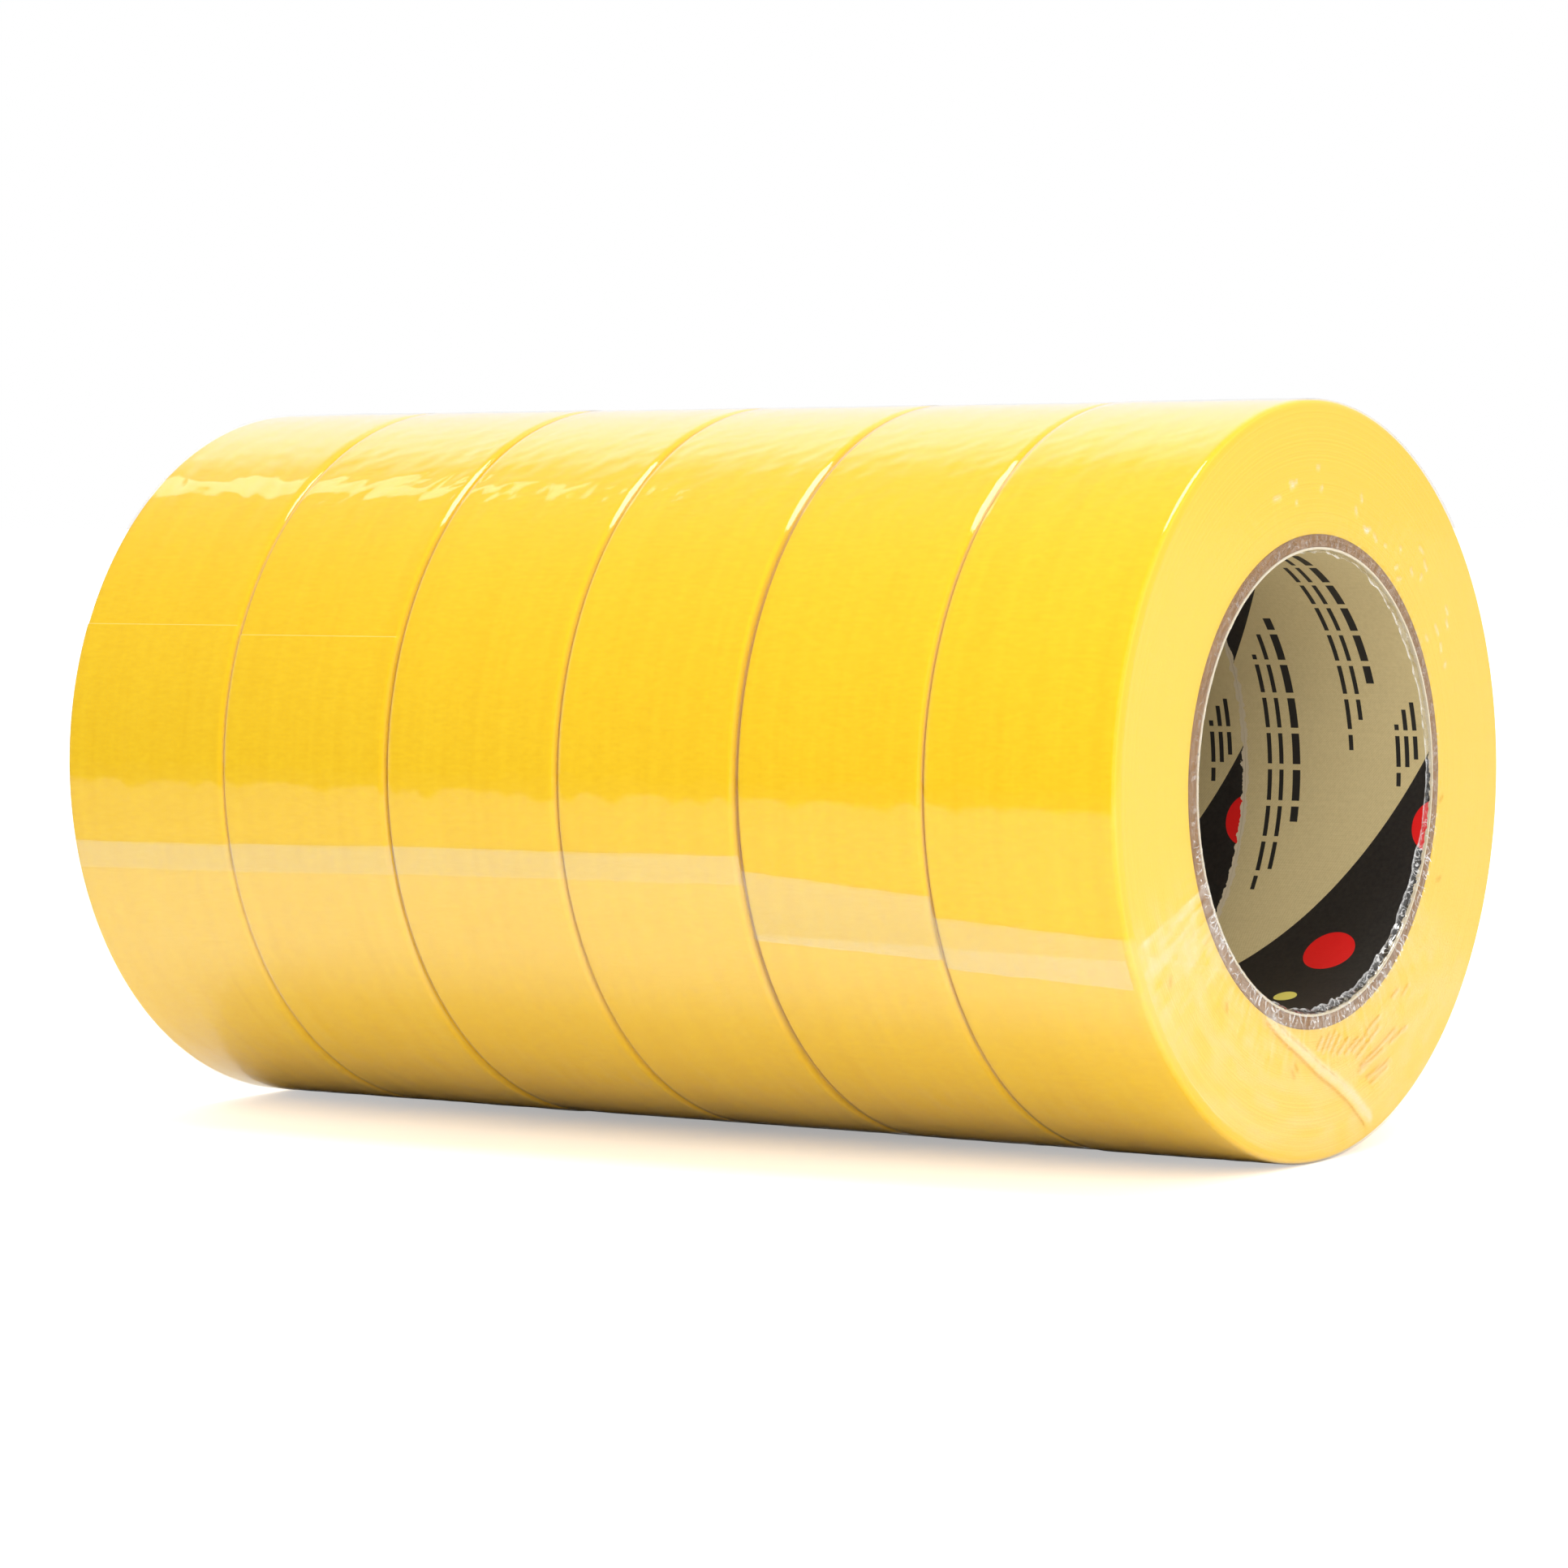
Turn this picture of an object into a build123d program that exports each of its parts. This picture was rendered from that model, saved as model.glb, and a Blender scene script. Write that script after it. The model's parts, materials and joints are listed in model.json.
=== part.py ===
"""A shrink-wrapped sleeve of six masking tape rolls, lying on its side.

The six rolls share one axis, X. Each roll is a printed liner glued inside a fibre core, with the tape
wound on the core. A clear shrink film holds the rolls together. It tears round the grooves when a roll
is pulled off, so it is made as one band for each roll, and the bands meet at the grooves. The two end
bands also turn in over the end faces and reach into the bore. A lap, where the film is sealed to
itself, runs along the pack. The origin is on the axis, half way along. Sizes are in millimetres.
"""

from build123d import *
import os

# Driving dimensions
ROLLS = 6
BORE_DIAMETER = 76.2  # a 3 inch core
CORE_WALL = 2.5  # with the liner
LINER_THICKNESS = 0.4
CORE_LENGTH = 36.6
GAP = 0.05  # between the cores, and between the film bands, of two neighbours
TAPE_WIDTH = 36.0
TAPE_DIAMETER = 125.4
TAPE_STEP = 0.15  # height of the step at the loose end of the outer turn
TAPE_EDGE_RADIUS = 0.9
EDGE_DRUM_EXTRA = 0.1  # the drum that rounds the tape's rims is this much larger than the tape in radius
FILM_THICKNESS = 0.15
FILM_CLEARANCE = 0.05
FILM_CORNER_RADIUS = 1.2
GROOVE_DEPTH = 0.35  # how far the film sinks into the groove between two rolls
GROOVE_REACH = 1.1  # how far from the groove it starts to sink
LIP_DEPTH = 3.0  # how far the film reaches into the bore
LIP_CORNER_RADIUS = 0.3
LAP_WIDTH = 12.0
LAP_ANGLE = 197.0  # middle of the lap, in degrees from +Y towards +Z

# Where each roll's loose end lies, in degrees from +Y towards +Z, from the first roll to the last
LOOSE_END_ANGLES = [155, 157, 62, 285, 20, 100]

# Sizes that follow from them
PITCH = CORE_LENGTH + GAP
BORE_RADIUS = BORE_DIAMETER / 2
CORE_RADIUS = BORE_RADIUS + CORE_WALL
TAPE_RADIUS = TAPE_DIAMETER / 2
FILM_INNER = TAPE_RADIUS + FILM_CLEARANCE
FILM_OUTER = FILM_INNER + FILM_THICKNESS
END_INNER = CORE_LENGTH / 2 + FILM_CLEARANCE  # from a roll's middle to the film over its end face
END_OUTER = END_INNER + FILM_THICKNESS
LIP_OUTER = BORE_RADIUS - FILM_CLEARANCE
LIP_INNER = LIP_OUTER - FILM_THICKNESS


def roll_centre(index):
    """X of the middle of a roll. The first roll is at the low end."""
    return (index - (ROLLS - 1) / 2) * PITCH


def tube(inner_radius, outer_radius, length):
    """A plain tube along X, centred on the origin."""
    ring = Circle(outer_radius) - Circle(inner_radius)
    return extrude(Plane.YZ * ring, length / 2, both=True)


def core():
    """The board tube that the tape is wound on."""
    return tube(BORE_RADIUS + LINER_THICKNESS, CORE_RADIUS, CORE_LENGTH)


def liner():
    """The printed inner ply of the core, which is the wall of the bore."""
    return tube(BORE_RADIUS, BORE_RADIUS + LINER_THICKNESS, CORE_LENGTH)


def rounded_drum():
    """A solid drum with rounded rims, a little larger than the tape, so that it trims only the rims."""
    outline = Circle(TAPE_RADIUS + EDGE_DRUM_EXTRA)
    drum = extrude(Plane.YZ * outline, TAPE_WIDTH / 2, both=True)
    rims = drum.edges().filter_by(GeomType.CIRCLE)
    return fillet(rims, TAPE_EDGE_RADIUS)


def tape(loose_end_angle):
    """The wound tape. Two half turns of slightly different radius make its outside a spiral, and the
    step where they don't meet is the loose end."""
    low_radius = TAPE_RADIUS - TAPE_STEP
    high_radius = TAPE_RADIUS - TAPE_STEP / 2
    low_half = CenterArc((0, 0), low_radius, 180, 180)
    high_half = CenterArc((-TAPE_STEP / 2, 0), high_radius, 0, 180)
    loose_end = Line((-low_radius, 0), (-TAPE_RADIUS, 0))
    spiral = make_face([low_half, high_half, loose_end]) - Circle(CORE_RADIUS)
    winding = extrude(Plane.YZ * spiral, TAPE_WIDTH / 2, both=True)
    turned = Rot(X=loose_end_angle - 180) * winding
    return turned & rounded_drum()


def groove_side(sign):
    """The edges of a film band's section on a side where it sinks into a groove, from inside to outside."""
    end = sign * CORE_LENGTH / 2
    start = end - sign * GROOVE_REACH
    inner = TangentArc((start, FILM_INNER), (end, FILM_INNER - GROOVE_DEPTH), tangent=(sign, 0))
    outer = TangentArc((start, FILM_OUTER), (end, FILM_OUTER - GROOVE_DEPTH), tangent=(sign, 0))
    return [inner, Line(inner @ 1, outer @ 1), outer]


def end_side(sign):
    """The edges of a film band's section on a side where it covers an end face and reaches the bore."""
    corner_x = sign * (END_OUTER - FILM_CORNER_RADIUS)
    corner_r = FILM_OUTER - FILM_CORNER_RADIUS
    inner_corner = TangentArc((corner_x, FILM_INNER), (sign * END_INNER, corner_r), tangent=(sign, 0))
    outer_corner = TangentArc((corner_x, FILM_OUTER), (sign * END_OUTER, corner_r), tangent=(sign, 0))
    lip_end = sign * (END_OUTER - LIP_DEPTH)
    lip_corner_x = sign * (END_OUTER - LIP_CORNER_RADIUS)
    lip_corner_r = LIP_INNER + LIP_CORNER_RADIUS
    lip_corner = TangentArc((sign * END_OUTER, lip_corner_r), (lip_corner_x, LIP_INNER), tangent=(0, -1))
    inside = Polyline((sign * END_INNER, corner_r), (sign * END_INNER, LIP_OUTER), (lip_end, LIP_OUTER))
    tip = Line((lip_end, LIP_OUTER), (lip_end, LIP_INNER))
    lip_inside = Line((lip_end, LIP_INNER), (lip_corner_x, LIP_INNER))
    face = Line((sign * END_OUTER, lip_corner_r), (sign * END_OUTER, corner_r))
    return [inner_corner, *inside.edges(), tip, lip_inside, lip_corner, face, outer_corner]


def lap():
    """The strip where the film lies double, with room left at both ends for the bands' curved edges."""
    length = CORE_LENGTH - 2 * FILM_CORNER_RADIUS
    ring = tube(FILM_INNER + FILM_THICKNESS / 2, FILM_OUTER + FILM_THICKNESS, length)
    window = Box(length, TAPE_DIAMETER, LAP_WIDTH, align=(Align.CENTER, Align.MIN, Align.CENTER))
    return ring & (Rot(X=LAP_ANGLE) * window)


def film_band(index):
    """The shrink film round one roll. The first and last bands close the ends of the pack."""
    low = end_side(-1) if index == 0 else groove_side(-1)
    high = end_side(1) if index == ROLLS - 1 else groove_side(1)
    inner_line = Line(low[0] @ 0, high[0] @ 0)
    outer_line = Line(low[-1] @ 0, high[-1] @ 0)
    section = make_face([*low, *high, inner_line, outer_line])
    return revolve(section, Axis.X) + lap()


def write(shape, index, name):
    """Puts a shape in its roll's place and writes it as one node."""
    export_step(Pos(X=roll_centre(index)) * shape, os.path.join("parts", f"{name}.step"))


os.makedirs("parts", exist_ok=True)
for index in range(ROLLS):
    number = index + 1
    write(core(), index, f"core_{number}")
    write(liner(), index, f"core_liner_{number}")
    write(tape(LOOSE_END_ANGLES[index]), index, f"tape_{number}")
    write(film_band(index), index, f"film_band_{number}")
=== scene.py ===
"""Looks for a shrink-wrapped sleeve of six masking tape rolls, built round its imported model.

The rolls share one axis, X, and roll 6 is at the near end. Angles round the axis are in degrees from
+Y towards +Z: 90 is the top, and 180 faces the camera. In the meshes "turn" is that angle as a share
of a full turn. Every CAD node is replaced by finer meshes that ride on the same body. Lengths are in
metres, so a size in millimetres is multiplied by MM.
"""

import json
import math

import bpy
import numpy as np
from mathutils import Matrix, Vector


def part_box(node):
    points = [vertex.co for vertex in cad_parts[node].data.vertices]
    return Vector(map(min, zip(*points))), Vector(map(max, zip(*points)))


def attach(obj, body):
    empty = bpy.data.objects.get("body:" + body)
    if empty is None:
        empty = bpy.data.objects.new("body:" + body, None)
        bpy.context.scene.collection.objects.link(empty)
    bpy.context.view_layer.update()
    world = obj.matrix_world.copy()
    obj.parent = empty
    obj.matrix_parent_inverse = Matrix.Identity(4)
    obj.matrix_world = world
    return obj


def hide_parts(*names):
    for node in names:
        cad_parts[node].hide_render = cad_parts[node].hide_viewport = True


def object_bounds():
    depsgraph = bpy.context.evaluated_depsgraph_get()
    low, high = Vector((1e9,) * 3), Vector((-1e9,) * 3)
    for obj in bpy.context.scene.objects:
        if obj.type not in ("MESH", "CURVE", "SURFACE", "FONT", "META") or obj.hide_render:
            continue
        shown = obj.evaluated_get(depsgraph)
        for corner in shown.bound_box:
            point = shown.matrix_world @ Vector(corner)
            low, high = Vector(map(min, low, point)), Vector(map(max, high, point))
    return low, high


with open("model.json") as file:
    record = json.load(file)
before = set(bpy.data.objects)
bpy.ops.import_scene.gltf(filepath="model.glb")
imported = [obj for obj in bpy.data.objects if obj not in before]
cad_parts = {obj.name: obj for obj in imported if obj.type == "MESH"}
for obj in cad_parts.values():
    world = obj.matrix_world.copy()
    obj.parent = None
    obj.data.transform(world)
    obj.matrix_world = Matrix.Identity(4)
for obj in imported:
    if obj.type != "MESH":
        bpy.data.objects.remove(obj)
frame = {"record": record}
cad_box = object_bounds()

MM = 0.001
ROLLS = 6
BORE_MOUNT = next(mount for mount in frame["record"]["mounts"] if mount["name"] == "bore")
BORE_RADIUS = BORE_MOUNT["dims"]["r_mm"] * MM

# Camera: a long lens, nearly level with the pack, swung round towards the near end. Angles in degrees
CAMERA_AZIMUTH = 35.476
CAMERA_ELEVATION = 3.841
CAMERA_ROLL = -0.916
CAMERA_DISTANCE = 0.97587
CAMERA_RIGHT = 0.00185  # how far the line of sight passes from the pack's centre
CAMERA_UP = -0.00315
CAMERA_LENS = 127.77

# Tape
TAPE_COLUMNS = 480
RIM_RADIUS = 1.0 * MM
TAPE_SIDE_ROWS = 26
TAPE_FACE_ROWS = 30
TAPE_STEP = 0.17 * MM  # height of the step at the loose end
END_STEP_WIDTH = 0.18 * MM
TAPE_RIPPLE = 0.015 * MM
WINDING_RELIEF = 0.03 * MM  # how much the turns stand in and out on the end faces
TAPE_GAP = 0.02 * MM  # between the core and the innermost turn
LOOSE_END_ANGLES = [155.2, 156.8, 62, 285, 20, 100]
TAPE_SHIFTS = [0.22, -0.12, -0.15, -0.28, 0.05, -0.1]  # each winding's offset along its core, in mm

# Core and liner
BOARD_GAP = 0.005 * MM  # between the liner and the board
BOARD_SOFTNESS = 0.18 * MM  # how much its edges are rounded off
BOARD_FRAY = 0.04 * MM
SEAM_START = 150  # angle of the liner's butt joint at a roll's low end
SEAM_DEPTH = 0.1 * MM
SEAM_HALF = 0.9  # half its width in degrees
LINER_COCKLE = 0.02 * MM

# Film
FILM_COLUMNS = 600
FILM_THICKNESS = 0.04 * MM
FILM_STAND_OFF = 0.14 * MM  # from the tape to the film's outer face
FACE_STAND_OFF = 0.14 * MM  # from the end of a core to the film's outer face
FILM_RIPPLE = 0.035 * MM
GROOVE_DEPTH = 0.42 * MM  # how far the film sinks between two rolls
GROOVE_REACH = 1.3 * MM  # and how far from the groove it starts to sink
FILM_CORNER = 1.5 * MM  # radius where the film turns in over an end face
FILM_ROWS = 56  # along a band in the middle of the pack
FILM_END_ROWS = 42  # and along an end roll's, before the corner
FILM_PARTING = 0.005 * MM  # from the end of a band to the middle of the groove
LAP_PARTING = 0.01 * MM
FILM_MIRROR = 0.028  # share of light the film mirrors head on
FILM_SLANT_MIRROR = 0.9  # and how much more it mirrors at a full slant
SIDE_HAZE = 0.03  # from the lap down to the underside
HAZE_END = 207  # angle from which it fades away
HAZE_FADE = 25  # and the degrees over which it does

# Film lap: the angles of its upper and lower edge at each roll's low end, then at its high end
LAP_EDGES = [
    ((191.0, 190.7), (195.5, 195.2)),
    ((190.6, 189.9), (195.2, 194.5)),
    ((189.9, 189.6), (194.4, 194.0)),
    ((189.6, 189.2), (194.0, 193.7)),
    ((191.4, 194.2), (202.6, 204.4)),
    ((197.3, 199.6), (205.6, 207.7)),
]
LAP_COLUMNS = 40
LAP_ROWS = 30
LAP_HAZE = 0.003
STRIPE_HAZE = 0.035
# A cloudier stripe along the lap's lower edge on two rolls: its upper edge at their low and high ends
STRIPES = {5: (201.6, 202.1), 6: (202.2, 202.9)}

# Stretches round the film: first and last angle, and the degrees over which they fade outside them
FLUTED = (112, 130, 8)
SWOLLEN = (172, 190, 6)
GATHERED = (205, 318, 14)
LAPPED = (201.6, 222, 1.0)
LOOSE_LIP = (205, 335, 15)
CRINKLED = (200, 335, 18)

# Film over an end face, and its lip in the bore
FACE_COLUMNS = 720
FACE_ROWS = 52
LIP_ROWS = 9
LIP_CORNER = 0.5 * MM
LIP_GAP = 0.12 * MM  # from the wall of the bore to the lip
SPECKS = 26

# Colours. A list holds a colour ramp's (place, colour) stops, from the dark to the light of a material
TAPE_SIDE_COLOURS = [(0.36, (0.93, 0.555, 0.006)), (0.64, (0.99, 0.635, 0.012))]
TAPE_END_COLOURS = [(0.3, (0.90, 0.565, 0.022)), (0.7, (0.94, 0.62, 0.036))]
# A painted highlight for the tape's edge at the loose end
CUT_EDGE_HIGHLIGHT = (1.0, 0.72, 0.16, 1)
BOARD_COLOURS = [(0.35, (0.185, 0.095, 0.032)), (0.65, (0.35, 0.185, 0.068))]
PAPER_COLOURS = [(0.3, (0.62, 0.50, 0.25)), (0.7, (0.74, 0.61, 0.32))]
DARK_BAND_COLOURS = [(0.3, (0.012, 0.010, 0.009)), (0.7, (0.026, 0.022, 0.019))]
PALE_LINER_END = (0.70, 0.60, 0.42, 1)
BLACK = (0.02, 0.018, 0.016, 1)
RED = (0.85, 0.012, 0.012, 1)
GOLD = (0.85, 0.75, 0.16, 1)
WHITE = (1, 1, 1, 1)
MILK_COLOUR = (0.96, 0.95, 0.92, 1)
# Painted shade: the tint that darkens the film beside the curved fold, along pleats and at dents
FOLD_SHADE_TINT = (0.90, 0.77, 0.46, 1)

# Studio
FLOOR_SIZE = 4.0  # half the side of the floor
FLOOR_FRONT = 0.52  # how far before the pack the floor ends, as the film mirrors it
DIM_FLOOR = (0.15, 0.15, 0.15, 1)  # what the film mirrors beyond that
FLOOR_COLOURS = [(0.3, (0.95, 0.95, 0.95)), (0.7, (0.97, 0.97, 0.97))]
GLOW_REACH = (0.03, 0.16)  # distances from the pack's middle between which the glow rises
GLOW_STRENGTH = (0.3, 0.6)  # and how strong it is at the two
# Studio brightness by direction, from level behind (0) over the top (0.5) to level in front (1)
STUDIO = [
    (0.0, 1.0),
    (0.14, 1.05),
    (0.25, 1.25),
    (0.30, 1.3),
    (0.345, 1.05),
    (0.39, 0.62),
    (0.5, 0.56),
    (0.64, 0.42),
    (0.82, 0.28),
    (1.0, 0.15),
]
STUDIO_SCALE = 2  # a colour ramp holds 1 at most, so brightness is halved there and doubled later
# Lights: name, place, width, height, watts, and whether the film mirrors it
LIGHTS = [
    ("low_softbox", (0.62, -0.58, 0.36), 0.45, 0.45, 3.0, False),
    ("high_softbox", (0.60, -0.60, 0.80), 0.4, 0.4, 2.0, False),
    ("strip_light", (-0.77, 0.17, 0.82), 0.11, 0.22, 0.12, True),
]
TOP_LIGHT_STRENGTH = 1.65
TOP_LIGHT_SPREAD = 28  # degrees across

rng = np.random.default_rng(11)


# ---------------------------------------------------------------- meshes

def smooth(t):
    """0 to 1 with level ends."""
    t = np.clip(t, 0.0, 1.0)
    return t * t * (3 - 2 * t)


def waves(u, v, cells_u, cells_v):
    """Smooth random heights from -1 to 1 over u and v, both from 0 to 1.

    They repeat in v, so that they meet round a ring.
    """
    lattice = rng.uniform(-1, 1, (cells_u + 2, cells_v))
    u, v = np.broadcast_arrays(np.clip(u, 0, 1) * cells_u, v * cells_v)
    row = np.floor(u).astype(int)
    column = np.floor(v).astype(int)
    s = smooth(u - row)
    t = smooth(v - column)
    left = column % cells_v
    right = (column + 1) % cells_v
    low = lattice[row, left] * (1 - t) + lattice[row, right] * t
    high = lattice[row + 1, left] * (1 - t) + lattice[row + 1, right] * t
    return low * (1 - s) + high * s


def creases(u, v, cells_u, cells_v):
    """Like waves, but with sharp ridges at 1 and hollows down to -1."""
    return 1 - np.abs(waves(u, v, cells_u, cells_v)) * 2


def around(x, radius, angle):
    """Points at a place along the axis, a radius and an angle in radians."""
    x, radius, angle = np.broadcast_arrays(x, radius, angle)
    return np.stack([x, radius * np.cos(angle), radius * np.sin(angle)], axis=-1)


def normals_of(profile):
    """Unit normals, on the left, of a line of (x, r) points."""
    along = np.gradient(profile, axis=0)
    sideways = np.stack([-along[:, 1], along[:, 0]], axis=-1)
    return sideways / np.maximum(np.linalg.norm(sideways, axis=1, keepdims=True), 1e-12)


def quads(index):
    """The four-cornered faces of a grid of vertex numbers."""
    corners = [index[:-1, :-1], index[:-1, 1:], index[1:, 1:], index[1:, :-1]]
    return np.stack(corners, axis=-1).reshape(-1, 4)


def closed_ring(points):
    """Faces of a ring-shaped solid, whose grid of points closes both ways."""
    rows, columns = points.shape[:2]
    index = np.arange(rows * columns).reshape(rows, columns)
    index = np.hstack([index, index[:, :1]])
    index = np.vstack([index, index[:1]])
    return points.reshape(-1, 3), quads(index)


def thin_sheet(outer, inner, wrap):
    """Points and faces of a closed sheet between two grids. With wrap it goes all the way round."""
    rows, columns = outer.shape[:2]
    top = np.arange(rows * columns).reshape(rows, columns)
    if wrap:
        top = np.hstack([top, top[:, :1]])
    bottom = top + rows * columns
    faces = [quads(top), quads(bottom)[:, ::-1]]
    edges = [(top[0], bottom[0]), (bottom[-1], top[-1])]
    if not wrap:
        edges += [(bottom[:, 0], top[:, 0]), (top[:, -1], bottom[:, -1])]
    for a, b in edges:
        faces.append(np.stack([a[:-1], b[:-1], b[1:], a[1:]], axis=-1))
    points = np.concatenate([outer.reshape(-1, 3), inner.reshape(-1, 3)])
    return points, np.concatenate(faces)


def add_piece(name, solid, material, body, node, sharp_degrees=40):
    """Makes a mesh that rides on a body and stands for a CAD node."""
    points, faces = solid
    mesh = bpy.data.meshes.new(name)
    mesh.from_pydata(points.tolist(), [], faces.tolist())
    mesh.materials.append(material)
    mesh.shade_smooth()
    mesh.set_sharp_from_angle(angle=math.radians(sharp_degrees))
    piece = bpy.data.objects.new(name, mesh)
    bpy.context.scene.collection.objects.link(piece)
    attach(piece, body)
    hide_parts(node)
    return piece


def set_values(piece, values):
    """Writes named grids of numbers, the same on the two faces of a film sheet. A missing one is 0."""
    count = len(piece.data.vertices) // 2
    for name in ("haze_and_sheen", "crinkle", "fold_shade"):
        grid = values[name].ravel() if name in values else np.zeros(count)
        attribute = piece.data.attributes.new(name, "FLOAT", "POINT")
        attribute.data.foreach_set("value", np.concatenate([grid, grid]).astype(np.float32))


# ---------------------------------------------------------------- material nodes

def new_material(name):
    made = bpy.data.materials.new(name)
    made.use_nodes = True
    made.node_tree.nodes.clear()
    return made, made.node_tree


def add(tree, kind, inputs, **settings):
    """A node with its inputs set from values or from other nodes' outputs."""
    made = tree.nodes.new(kind)
    for key, value in settings.items():
        setattr(made, key, value)
    for key, value in inputs.items():
        if isinstance(value, bpy.types.NodeSocket):
            tree.links.new(value, made.inputs[key])
        else:
            made.inputs[key].default_value = value
    return made


def maths(tree, operation, a, b=0.0, c=0.0):
    return add(tree, "ShaderNodeMath", {0: a, 1: b, 2: c}, operation=operation).outputs[0]


def times(tree, a, b):
    return maths(tree, "MULTIPLY", a, b)


def plus(tree, a, b):
    return maths(tree, "ADD", a, b)


def noise(tree, vector, scale, detail=2.0, roughness=0.5):
    inputs = {"Vector": vector, "Scale": scale, "Detail": detail, "Roughness": roughness}
    return add(tree, "ShaderNodeTexNoise", inputs).outputs["Fac"]


def stretched(tree, vector, x, y, z):
    return add(tree, "ShaderNodeVectorMath", {0: vector, 1: (x, y, z)}, operation="MULTIPLY").outputs[0]


def ramp(tree, value, stops):
    """A colour ramp from (place, colour) pairs."""
    made = add(tree, "ShaderNodeValToRGB", {"Fac": value})
    elements = made.color_ramp.elements
    while len(elements) < len(stops):
        elements.new(0.5)
    for element, (place, colour) in zip(elements, stops):
        element.position = place
        element.color = (*colour, 1)
    return made.outputs["Color"]


def mixed(tree, factor, a, b):
    made = tree.nodes.new("ShaderNodeMix")
    made.data_type = "RGBA"
    for socket, value in ((made.inputs[0], factor), (made.inputs[6], a), (made.inputs[7], b)):
        if isinstance(value, bpy.types.NodeSocket):
            tree.links.new(value, socket)
        else:
            socket.default_value = value
    return made.outputs[2]


def within(tree, value, middle, half):
    """1 where value is less than half away from middle, or else 0."""
    return add(tree, "ShaderNodeMath", {0: value, 1: middle, 2: half}, operation="COMPARE").outputs[0]


def object_axes(tree):
    coordinates = add(tree, "ShaderNodeTexCoord", {})
    split = add(tree, "ShaderNodeSeparateXYZ", {"Vector": coordinates.outputs["Object"]})
    return coordinates, split.outputs["X"], split.outputs["Y"], split.outputs["Z"]


def hypotenuse(tree, a, b):
    return maths(tree, "SQRT", plus(tree, times(tree, a, a), times(tree, b, b)))


def finish_material(tree, shader):
    output = tree.nodes.new("ShaderNodeOutputMaterial")
    tree.links.new(shader, output.inputs["Surface"])


def principled(tree, **inputs):
    named = {}
    for key, value in inputs.items():
        named[key.replace("_", " ").title().replace("Ior", "IOR")] = value
    return add(tree, "ShaderNodeBsdfPrincipled", named).outputs[0]


def rings(tree, radius, scale, detail):
    """Noise that changes only with the distance from the axis."""
    inputs = {"W": radius, "Scale": scale, "Detail": detail}
    return add(tree, "ShaderNodeTexNoise", inputs, noise_dimensions="1D").outputs["Fac"]


def weighted(tree, *parts):
    """The sum of (value, weight) pairs."""
    total = 0.0
    for value, weight in parts:
        total = plus(tree, total, times(tree, value, weight))
    return total


def bumps(tree, strength, distance, height):
    inputs = {"Strength": strength, "Distance": distance, "Height": height}
    return add(tree, "ShaderNodeBump", inputs).outputs[0]


def between(tree, value, start, end, low=0.0, high=1.0, **settings):
    """Goes from low to high while value goes from start to end, and no further."""
    inputs = {"Value": value, "From Min": start, "From Max": end, "To Min": low, "To Max": high}
    return add(tree, "ShaderNodeMapRange", inputs, **settings).outputs[0]


def tape_material():
    """Yellow crepe paper with fine ridges, faint streaks round the roll, and winding lines on its ends.

    The edge of the tape at the loose end gets a painted highlight, paler as if it caught the light.
    """
    material, tree = new_material("crepe_tape")
    coordinates, _, y, z = object_axes(tree)
    place = coordinates.outputs["Object"]
    crepe = noise(tree, stretched(tree, place, 0.3, 1, 1), 1700, 3)
    fibres = noise(tree, place, 900, 4, 0.6)
    streaks = noise(tree, stretched(tree, place, 1, 0.03, 0.03), 420, 3, 0.6)
    tone = weighted(tree, (crepe, 0.45), (streaks, 0.35), (fibres, 0.2))
    side = ramp(tree, tone, TAPE_SIDE_COLOURS)
    radius = hypotenuse(tree, y, z)
    turns = rings(tree, radius, 3000, 3)
    ends = ramp(tree, turns, TAPE_END_COLOURS)
    facing = add(tree, "ShaderNodeSeparateXYZ", {"Vector": coordinates.outputs["Normal"]}).outputs
    facing_along = maths(tree, "ABSOLUTE", facing["X"])
    on_end = maths(tree, "GREATER_THAN", facing_along, 0.8)
    colour = mixed(tree, on_end, side, ends)
    # The edge at the loose end looks round the roll, so neither outwards nor along it. There the colour
    # gets a painted highlight
    facing_out = plus(tree, times(tree, facing["Y"], y), times(tree, facing["Z"], z))
    turned_away = maths(tree, "LESS_THAN", maths(tree, "DIVIDE", facing_out, radius), 0.85)
    cut_edge_highlight = times(tree, turned_away, maths(tree, "LESS_THAN", facing_along, 0.4))
    colour = mixed(tree, cut_edge_highlight, colour, CUT_EDGE_HIGHLIGHT)
    height = plus(tree, crepe, times(tree, turns, on_end))
    bump = bumps(tree, 0.35, 0.0001, height)
    shader = principled(tree, base_color=colour, roughness=0.62, specular_ior_level=0.12, normal=bump)
    finish_material(tree, shader)
    return material


def board_material():
    """Grey-brown core board, with its plies showing as rings on the ends."""
    material, tree = new_material("core_board")
    coordinates, _, y, z = object_axes(tree)
    fibres = noise(tree, stretched(tree, coordinates.outputs["Object"], 0.4, 1, 1), 1300, 5, 0.7)
    blotches = noise(tree, coordinates.outputs["Object"], 220, 2)
    plies = rings(tree, hypotenuse(tree, y, z), 3500, 2)
    tone = weighted(tree, (fibres, 0.4), (blotches, 0.25), (plies, 0.35))
    colour = ramp(tree, tone, BOARD_COLOURS)
    bump = bumps(tree, 0.5, 0.0002, tone)
    shader = principled(tree, base_color=colour, roughness=0.85, specular_ior_level=0.12, normal=bump)
    finish_material(tree, shader)
    return material


# Printing on the liner, from each roll's low end and round the bore. The dark bands run diagonally.
BAND_SLOPE = 2.37  # degrees for each mm along the roll, also of the liner's butt joint
BAND_MIDDLES = [74.5, 230.5]
BAND_HALF = 48.0
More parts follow.
